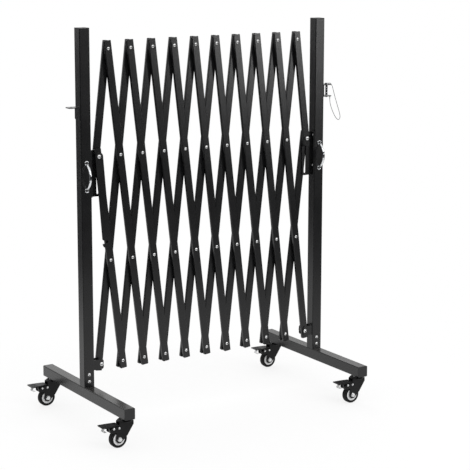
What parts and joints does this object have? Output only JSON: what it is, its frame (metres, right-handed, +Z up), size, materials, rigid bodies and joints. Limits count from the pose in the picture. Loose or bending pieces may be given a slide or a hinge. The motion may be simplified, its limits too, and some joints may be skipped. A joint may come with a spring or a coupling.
{
  "type": "expandable barrier gate",
  "caption": "Folding lattice of steel channels between two posts on braked casters, with bow handles, hook lever and coupling pin.",
  "frame": {"origin": "on the floor under the middle of the box round the gate, the lanyard left out", "axes": "+X along the gate from the tongue's post to the lug's post, +Y away from the handles, +Z up"},
  "size_m": [1.1954, 0.64, 1.42],
  "materials": {
    "paint": "semi-gloss black powder coat",
    "cap": "moulded black plastic",
    "zinc": "bright zinc plating",
    "chrome": "polished chrome plate",
    "wheel": "moulded black tyre on a grey core",
    "wire": "stranded steel wire"
  },
  "bodies": {
    "left_end": {"post_left": "paint", "foot_left": "paint", "caps_left": "cap", "guide_left": "paint", "clevis_left": "paint", "handle_left": "chrome", "tongue": "paint", "bolts_left": "zinc", "stems_left": "zinc"},
    "right_end": {"post_right": "paint", "foot_right": "paint", "caps_right": "cap", "guide_right": "paint", "clevis_right": "paint", "handle_right": "chrome", "lug": "paint", "bolts_right": "zinc", "stems_right": "zinc", "lanyard": "wire"},
    "lever": {"hook_lever": "paint"},
    "pin": {"pin": "zinc"},
    "bar_f_end": {"bar_f_end": "paint", "slide_bolt_left": "zinc"},
    "bar_f0": {"bar_f0": "paint"},
    "bar_f1": {"bar_f1": "paint"},
    "bar_f2": {"bar_f2": "paint"},
    "bar_f3": {"bar_f3": "paint"},
    "bar_f4": {"bar_f4": "paint"},
    "bar_f5": {"bar_f5": "paint"},
    "bar_f6": {"bar_f6": "paint"},
    "bar_f7": {"bar_f7": "paint"},
    "bar_f8": {"bar_f8": "paint"},
    "bar_f9": {"bar_f9": "paint"},
    "bar_b0": {"bar_b0": "paint"},
    "bar_b1": {"bar_b1": "paint"},
    "bar_b2": {"bar_b2": "paint"},
    "bar_b3": {"bar_b3": "paint"},
    "bar_b4": {"bar_b4": "paint"},
    "bar_b5": {"bar_b5": "paint"},
    "bar_b6": {"bar_b6": "paint"},
    "bar_b7": {"bar_b7": "paint"},
    "bar_b8": {"bar_b8": "paint"},
    "bar_b9": {"bar_b9": "paint"},
    "bar_b10": {"bar_b10": "paint", "slide_bolt_right": "zinc"},
    "fork_left_far": {"fork_left_far": "paint"},
    "wheel_left_far": {"wheel_left_far": "wheel"},
    "pedal_left_far": {"pedal_left_far": "paint"},
    "fork_left_near": {"fork_left_near": "paint"},
    "wheel_left_near": {"wheel_left_near": "wheel"},
    "pedal_left_near": {"pedal_left_near": "paint"},
    "fork_right_far": {"fork_right_far": "paint"},
    "wheel_right_far": {"wheel_right_far": "wheel"},
    "pedal_right_far": {"pedal_right_far": "paint"},
    "fork_right_near": {"fork_right_near": "paint"},
    "wheel_right_near": {"wheel_right_near": "wheel"},
    "pedal_right_near": {"pedal_right_near": "paint"}
  },
  "joints": [
    {"name": "lattice_fold", "type": "hinge", "parent": "left_end", "child": "bar_b1", "pos_m": [-0.4235, 0, 0.219], "axis": [0, 1, 0], "range_deg": [-4.4, 24.3]},
    {"name": "fold_f_end", "type": "hinge", "parent": "bar_b1", "child": "bar_f_end", "pos_m": [-0.3793, 0, 0.59441], "axis": [0, 1, 0], "range_deg": [-48.61, 8.81]},
    {"name": "fold_f0", "type": "hinge", "parent": "bar_b1", "child": "bar_f0", "pos_m": [-0.3351, 0, 0.96981], "axis": [0, 1, 0], "range_deg": [-48.61, 8.81]},
    {"name": "fold_b0", "type": "hinge", "parent": "bar_f0", "child": "bar_b0", "pos_m": [-0.3793, 0, 1.34522], "axis": [0, 1, 0], "range_deg": [-8.81, 48.61]},
    {"name": "fold_f1", "type": "hinge", "parent": "bar_b1", "child": "bar_f1", "pos_m": [-0.2909, 0, 1.34522], "axis": [0, 1, 0], "range_deg": [-48.61, 8.81]},
    {"name": "fold_b2", "type": "hinge", "parent": "bar_f1", "child": "bar_b2", "pos_m": [-0.2467, 0, 0.96981], "axis": [0, 1, 0], "range_deg": [-8.81, 48.61]},
    {"name": "fold_b3", "type": "hinge", "parent": "bar_f1", "child": "bar_b3", "pos_m": [-0.2025, 0, 0.59441], "axis": [0, 1, 0], "range_deg": [-8.81, 48.61]},
    {"name": "fold_b4", "type": "hinge", "parent": "bar_f1", "child": "bar_b4", "pos_m": [-0.1583, 0, 0.219], "axis": [0, 1, 0], "range_deg": [-8.81, 48.61]},
    {"name": "fold_f2", "type": "hinge", "parent": "bar_b4", "child": "bar_f2", "pos_m": [-0.1141, 0, 0.59441], "axis": [0, 1, 0], "range_deg": [-48.61, 8.81]},
    {"name": "fold_f3", "type": "hinge", "parent": "bar_b4", "child": "bar_f3", "pos_m": [-0.0699, 0, 0.96981], "axis": [0, 1, 0], "range_deg": [-48.61, 8.81]},
    {"name": "fold_f4", "type": "hinge", "parent": "bar_b4", "child": "bar_f4", "pos_m": [-0.0257, 0, 1.34522], "axis": [0, 1, 0], "range_deg": [-48.61, 8.81]},
    {"name": "fold_b5", "type": "hinge", "parent": "bar_f4", "child": "bar_b5", "pos_m": [0.0185, 0, 0.96981], "axis": [0, 1, 0], "range_deg": [-8.81, 48.61]},
    {"name": "fold_b6", "type": "hinge", "parent": "bar_f4", "child": "bar_b6", "pos_m": [0.0627, 0, 0.59441], "axis": [0, 1, 0], "range_deg": [-8.81, 48.61]},
    {"name": "fold_b7", "type": "hinge", "parent": "bar_f4", "child": "bar_b7", "pos_m": [0.1069, 0, 0.219], "axis": [0, 1, 0], "range_deg": [-8.81, 48.61]},
    {"name": "fold_f5", "type": "hinge", "parent": "bar_b7", "child": "bar_f5", "pos_m": [0.1511, 0, 0.59441], "axis": [0, 1, 0], "range_deg": [-48.61, 8.81]},
    {"name": "fold_f6", "type": "hinge", "parent": "bar_b7", "child": "bar_f6", "pos_m": [0.1953, 0, 0.96981], "axis": [0, 1, 0], "range_deg": [-48.61, 8.81]},
    {"name": "fold_f7", "type": "hinge", "parent": "bar_b7", "child": "bar_f7", "pos_m": [0.2395, 0, 1.34522], "axis": [0, 1, 0], "range_deg": [-48.61, 8.81]},
    {"name": "fold_b8", "type": "hinge", "parent": "bar_f7", "child": "bar_b8", "pos_m": [0.2837, 0, 0.96981], "axis": [0, 1, 0], "range_deg": [-8.81, 48.61]},
    {"name": "fold_b9", "type": "hinge", "parent": "bar_f7", "child": "bar_b9", "pos_m": [0.3279, 0, 0.59441], "axis": [0, 1, 0], "range_deg": [-8.81, 48.61]},
    {"name": "fold_b10", "type": "hinge", "parent": "bar_f7", "child": "bar_b10", "pos_m": [0.3721, 0, 0.219], "axis": [0, 1, 0], "range_deg": [-8.81, 48.61]},
    {"name": "fold_f9", "type": "hinge", "parent": "bar_b9", "child": "bar_f9", "pos_m": [0.4163, 0, 1.34522], "axis": [0, 1, 0], "range_deg": [-48.61, 8.81]},
    {"name": "fold_f8", "type": "hinge", "parent": "bar_b10", "child": "bar_f8", "pos_m": [0.4163, 0, 0.59441], "axis": [0, 1, 0], "range_deg": [-48.61, 8.81]},
    {"name": "fold_right_end", "type": "hinge", "parent": "bar_f8", "child": "right_end", "pos_m": [0.4605, 0, 0.219], "axis": [0, 1, 0], "range_deg": [-4.41, 24.31]},
    {"name": "lever_swing", "type": "hinge", "parent": "bar_f_end", "child": "lever", "pos_m": [-0.4235, 0, 0.96981], "axis": [0, -1, 0], "range_deg": [0, 90]},
    {"name": "pin_lift", "type": "slide", "parent": "right_end", "child": "pin", "axis": [0, 0, 1], "range_m": [0, 0.055]},
    {"name": "swivel_left_far", "type": "hinge", "parent": "left_end", "child": "fork_left_far", "pos_m": [-0.4755, 0.282, 0.098], "axis": [0, 0, 1], "continuous": true},
    {"name": "roll_left_far", "type": "hinge", "parent": "fork_left_far", "child": "wheel_left_far", "pos_m": [-0.5035, 0.282, 0.032], "axis": [0, 1, 0], "continuous": true},
    {"name": "brake_left_far", "type": "hinge", "parent": "fork_left_far", "child": "pedal_left_far", "pos_m": [-0.5245, 0.282, 0.072], "axis": [0, -1, 0], "range_deg": [0, 10]},
    {"name": "swivel_left_near", "type": "hinge", "parent": "left_end", "child": "fork_left_near", "pos_m": [-0.4755, -0.282, 0.098], "axis": [0, 0, 1], "continuous": true},
    {"name": "roll_left_near", "type": "hinge", "parent": "fork_left_near", "child": "wheel_left_near", "pos_m": [-0.5035, -0.282, 0.032], "axis": [0, 1, 0], "continuous": true},
    {"name": "brake_left_near", "type": "hinge", "parent": "fork_left_near", "child": "pedal_left_near", "pos_m": [-0.5245, -0.282, 0.072], "axis": [0, -1, 0], "range_deg": [0, 10]},
    {"name": "swivel_right_far", "type": "hinge", "parent": "right_end", "child": "fork_right_far", "pos_m": [0.5125, 0.282, 0.098], "axis": [0, 0, 1], "continuous": true},
    {"name": "roll_right_far", "type": "hinge", "parent": "fork_right_far", "child": "wheel_right_far", "pos_m": [0.4845, 0.282, 0.032], "axis": [0, 1, 0], "continuous": true},
    {"name": "brake_right_far", "type": "hinge", "parent": "fork_right_far", "child": "pedal_right_far", "pos_m": [0.4635, 0.282, 0.072], "axis": [0, -1, 0], "range_deg": [0, 10]},
    {"name": "swivel_right_near", "type": "hinge", "parent": "right_end", "child": "fork_right_near", "pos_m": [0.5125, -0.282, 0.098], "axis": [0, 0, 1], "continuous": true},
    {"name": "roll_right_near", "type": "hinge", "parent": "fork_right_near", "child": "wheel_right_near", "pos_m": [0.4845, -0.282, 0.032], "axis": [0, 1, 0], "continuous": true},
    {"name": "brake_right_near", "type": "hinge", "parent": "fork_right_near", "child": "pedal_right_near", "pos_m": [0.4635, -0.282, 0.072], "axis": [0, -1, 0], "range_deg": [0, 10]}
  ],
  "couplings": [
    {"joint": "fold_f_end", "follows": "lattice_fold", "ratio": -2},
    {"joint": "fold_f0", "follows": "lattice_fold", "ratio": -2},
    {"joint": "fold_b0", "follows": "lattice_fold", "ratio": 2},
    {"joint": "fold_f1", "follows": "lattice_fold", "ratio": -2},
    {"joint": "fold_b2", "follows": "lattice_fold", "ratio": 2},
    {"joint": "fold_b3", "follows": "lattice_fold", "ratio": 2},
    {"joint": "fold_b4", "follows": "lattice_fold", "ratio": 2},
    {"joint": "fold_f2", "follows": "lattice_fold", "ratio": -2},
    {"joint": "fold_f3", "follows": "lattice_fold", "ratio": -2},
    {"joint": "fold_f4", "follows": "lattice_fold", "ratio": -2},
    {"joint": "fold_b5", "follows": "lattice_fold", "ratio": 2},
    {"joint": "fold_b6", "follows": "lattice_fold", "ratio": 2},
    {"joint": "fold_b7", "follows": "lattice_fold", "ratio": 2},
    {"joint": "fold_f5", "follows": "lattice_fold", "ratio": -2},
    {"joint": "fold_f6", "follows": "lattice_fold", "ratio": -2},
    {"joint": "fold_f7", "follows": "lattice_fold", "ratio": -2},
    {"joint": "fold_b8", "follows": "lattice_fold", "ratio": 2},
    {"joint": "fold_b9", "follows": "lattice_fold", "ratio": 2},
    {"joint": "fold_b10", "follows": "lattice_fold", "ratio": 2},
    {"joint": "fold_f9", "follows": "lattice_fold", "ratio": -2},
    {"joint": "fold_f8", "follows": "lattice_fold", "ratio": -2},
    {"joint": "fold_right_end", "follows": "lattice_fold", "ratio": 1}
  ]
}
